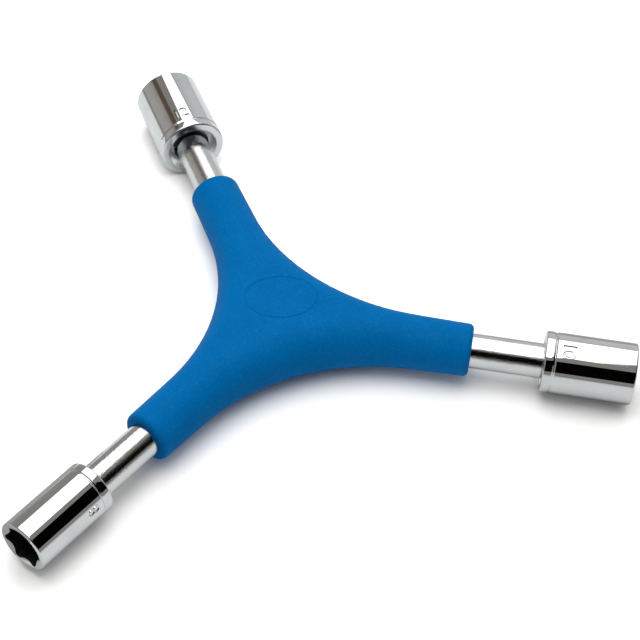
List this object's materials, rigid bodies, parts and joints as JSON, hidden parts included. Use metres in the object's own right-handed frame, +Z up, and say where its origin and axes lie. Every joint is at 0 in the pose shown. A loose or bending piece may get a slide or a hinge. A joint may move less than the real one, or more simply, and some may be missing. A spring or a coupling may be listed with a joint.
{
  "type": "y socket wrench",
  "caption": "Y-shaped hand wrench: a moulded plastic handle with round steel shanks that each carry a pull-off hexagon socket of its own size on a square drive.",
  "frame": {"origin": "middle of the flat pad on the handle's underside", "axes": "+Z up through the handle; the 8 mm arm runs along -Y, the 10 mm arm 30 degrees from +X towards +Y, the 12 mm arm 150 degrees from +X"},
  "size_m": [0.1475, 0.1284, 0.016],
  "materials": {
    "handle_plastic": "matte blue moulded plastic with a fine grain",
    "shank_chrome": "slightly satin chrome plate",
    "socket_chrome": "mirror chrome plate",
    "detent_steel": "polished ball-bearing steel",
    "spring_steel": "drawn spring wire"
  },
  "bodies": {
    "handle_and_shanks": {"handle_grip": "handle_plastic", "shank_8mm": "shank_chrome", "shank_10mm": "shank_chrome", "shank_12mm": "shank_chrome", "detent_spring_8mm": "spring_steel", "detent_spring_10mm": "spring_steel", "detent_spring_12mm": "spring_steel"},
    "socket_8mm_body": {"socket_8mm": "socket_chrome"},
    "socket_10mm_body": {"socket_10mm": "socket_chrome"},
    "socket_12mm_body": {"socket_12mm": "socket_chrome"},
    "ball_8mm_body": {"detent_ball_8mm": "detent_steel"},
    "ball_10mm_body": {"detent_ball_10mm": "detent_steel"},
    "ball_12mm_body": {"detent_ball_12mm": "detent_steel"}
  },
  "joints": [
    {"name": "socket_8mm_pull", "type": "slide", "parent": "handle_and_shanks", "child": "socket_8mm_body", "axis": [0, -1, 0], "range_m": [0, 0.009]},
    {"name": "socket_10mm_pull", "type": "slide", "parent": "handle_and_shanks", "child": "socket_10mm_body", "axis": [0.866, 0.5, 0], "range_m": [0, 0.009]},
    {"name": "socket_12mm_pull", "type": "slide", "parent": "handle_and_shanks", "child": "socket_12mm_body", "axis": [-0.866, 0.5, 0], "range_m": [0, 0.009]},
    {"name": "ball_8mm_press", "type": "slide", "parent": "handle_and_shanks", "child": "ball_8mm_body", "axis": [-0.7071, 0, -0.7071], "range_m": [0, 0.0014], "deforming": ["detent_spring_8mm"]},
    {"name": "ball_10mm_press", "type": "slide", "parent": "handle_and_shanks", "child": "ball_10mm_body", "axis": [0.3536, -0.6124, -0.7071], "range_m": [0, 0.0014], "deforming": ["detent_spring_10mm"]},
    {"name": "ball_12mm_press", "type": "slide", "parent": "handle_and_shanks", "child": "ball_12mm_body", "axis": [0.3536, 0.6124, -0.7071], "range_m": [0, 0.0014], "deforming": ["detent_spring_12mm"]}
  ],
  "couplings": [
    {"joint": "ball_8mm_press", "follows": "socket_8mm_pull", "ratio": 0.15},
    {"joint": "ball_10mm_press", "follows": "socket_10mm_pull", "ratio": 0.15},
    {"joint": "ball_12mm_press", "follows": "socket_12mm_pull", "ratio": 0.15}
  ]
}
